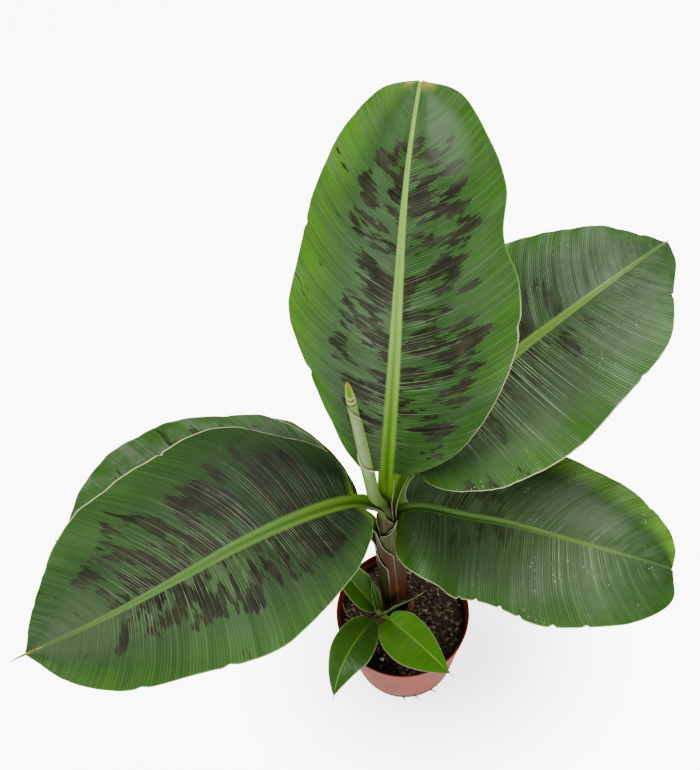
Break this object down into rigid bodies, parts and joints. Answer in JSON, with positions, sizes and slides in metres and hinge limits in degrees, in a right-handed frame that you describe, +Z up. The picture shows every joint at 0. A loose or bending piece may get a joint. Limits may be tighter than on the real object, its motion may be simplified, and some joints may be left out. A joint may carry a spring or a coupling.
{
  "type": "potted banana plant",
  "caption": "Young banana plant with broad, slightly glossy, maroon-marked leaves on a stem of rolled sheaths, with a side shoot, standing in soil in a round terracotta-coloured plastic pot.",
  "frame": {"origin": "on the ground under the middle of the pot, in the plane of the pot's foot", "axes": "+Z up; +Y away from someone who stands in front of the plant; +X to their right"},
  "size_m": [0.565, 0.3834, 0.6386],
  "materials": {
    "pot": "satin terracotta-coloured plastic",
    "soil": "damp dark peat",
    "corm": "matt, fibrous",
    "leaf_1": "waxy, semi-gloss",
    "leaf_2": "waxy, semi-gloss",
    "leaf_3": "waxy, semi-gloss",
    "leaf_4": "waxy, semi-gloss",
    "leaf_5": "waxy, semi-gloss",
    "leaf_6": "waxy, semi-gloss",
    "rolled_leaf": "waxy, semi-gloss",
    "dry_scrap": "dry and matt",
    "pup": "waxy, semi-gloss"
  },
  "bodies": {
    "root": {"pot": "pot", "soil": "soil", "corm": "corm", "leaf_1": "leaf_1", "leaf_2": "leaf_2", "leaf_3": "leaf_3", "leaf_4": "leaf_4", "leaf_5": "leaf_5", "leaf_6": "leaf_6", "rolled_leaf": "rolled_leaf", "dry_scrap": "dry_scrap", "pup": "pup"}
  },
  "joints": []
}
